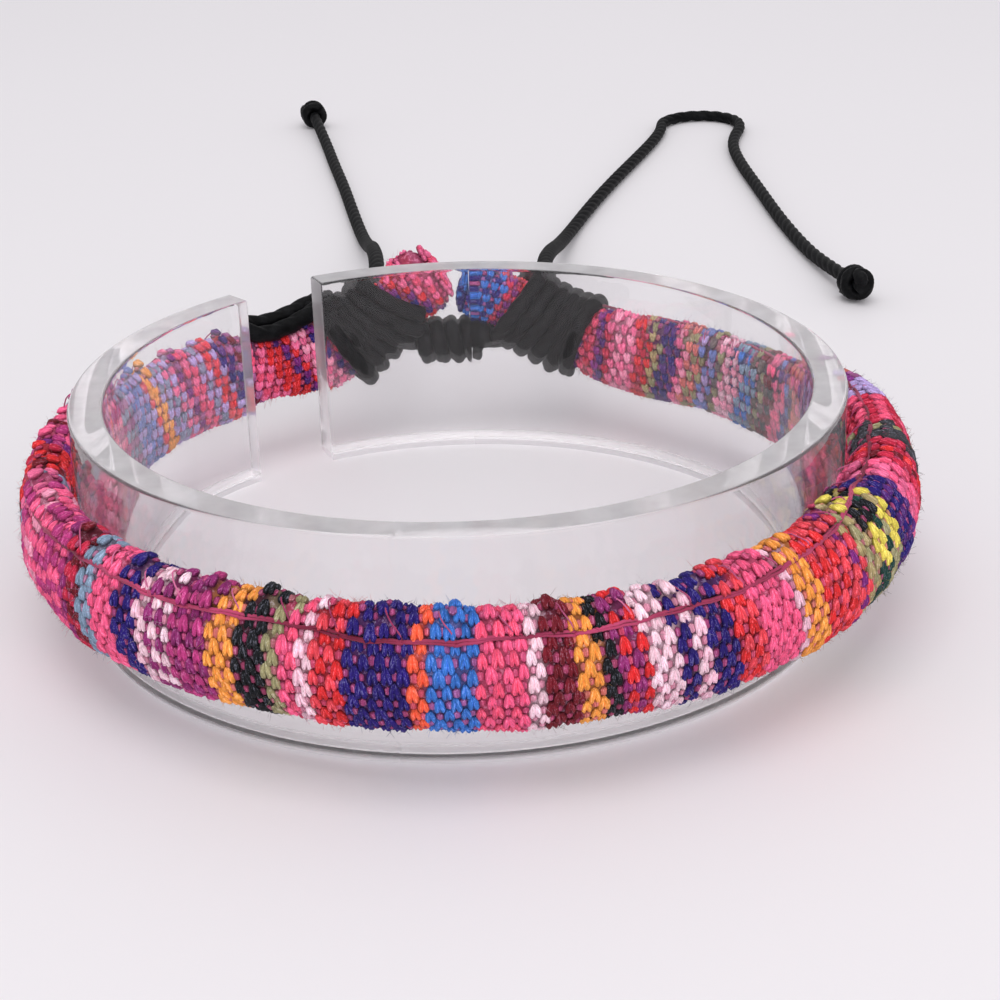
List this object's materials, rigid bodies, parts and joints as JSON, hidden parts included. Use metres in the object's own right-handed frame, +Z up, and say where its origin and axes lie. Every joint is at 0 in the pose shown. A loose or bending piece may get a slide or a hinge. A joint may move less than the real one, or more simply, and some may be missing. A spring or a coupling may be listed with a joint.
{
  "type": "woven cloth bracelet on a clear display ring",
  "caption": "Padded striped woven bracelet with whipped ends, a sliding knot and two waxed tie cords, worn round a clear open display ring that stands on a table.",
  "frame": {"origin": "the display ring's axis on the table that it stands on", "axes": "+Z up along the ring's axis, the front of the band at -Y, its tied ends and free cords at +Y, +X to the right seen from the front"},
  "size_m": [0.0863, 0.2115, 0.019],
  "materials": {
    "clear_plastic": "clear moulded plastic, polished",
    "striped_cloth": "warp-faced cotton in many coloured stripes",
    "waxed_cord": "black waxed twist, a slight sheen"
  },
  "bodies": {
    "root": {"display_ring": "clear_plastic", "woven_band": "striped_cloth", "left_whipping": "waxed_cord", "right_whipping": "waxed_cord", "left_cord_bight": "waxed_cord", "sliding_knot": "waxed_cord", "left_tie_cord": "waxed_cord", "right_tie_cord": "waxed_cord", "left_end_knot": "waxed_cord", "right_end_knot": "waxed_cord"}
  },
  "joints": []
}
